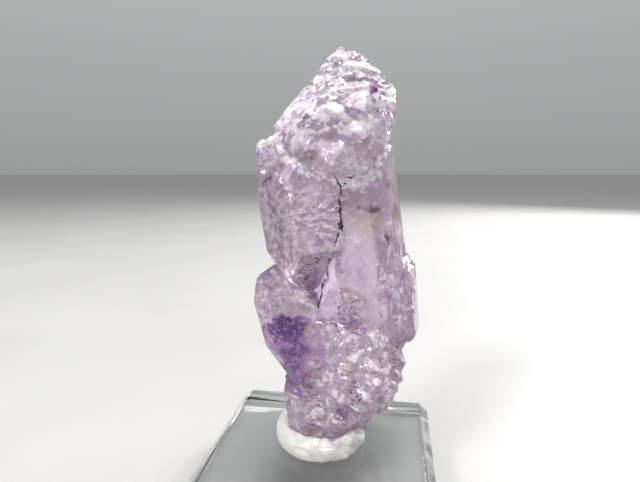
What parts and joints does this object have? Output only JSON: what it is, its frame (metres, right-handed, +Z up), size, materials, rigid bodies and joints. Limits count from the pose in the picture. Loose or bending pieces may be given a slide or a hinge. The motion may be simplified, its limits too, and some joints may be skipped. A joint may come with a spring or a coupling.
{
  "type": "amethyst crystal",
  "caption": "Pale violet amethyst crystals grown together under a rough white head, held upright by white putty on a clear bevelled block.",
  "frame": {"origin": "centre of the clear block's underside, on the surface it stands on", "axes": "+Z up along the standing crystal; -Y towards the block's front edge; the specimen is turned 9.5 degrees about +Z"},
  "size_m": [0.033, 0.033, 0.0639],
  "materials": {
    "crystal": "pale violet quartz, glassy on the flat faces and rough on the head and lower end",
    "putty": "soft white putty, slightly glossy",
    "base": "clear polished acrylic"
  },
  "bodies": {
    "root": {"amethyst_crystal": "crystal", "mounting_putty": "putty", "acrylic_base": "base"}
  },
  "joints": []
}
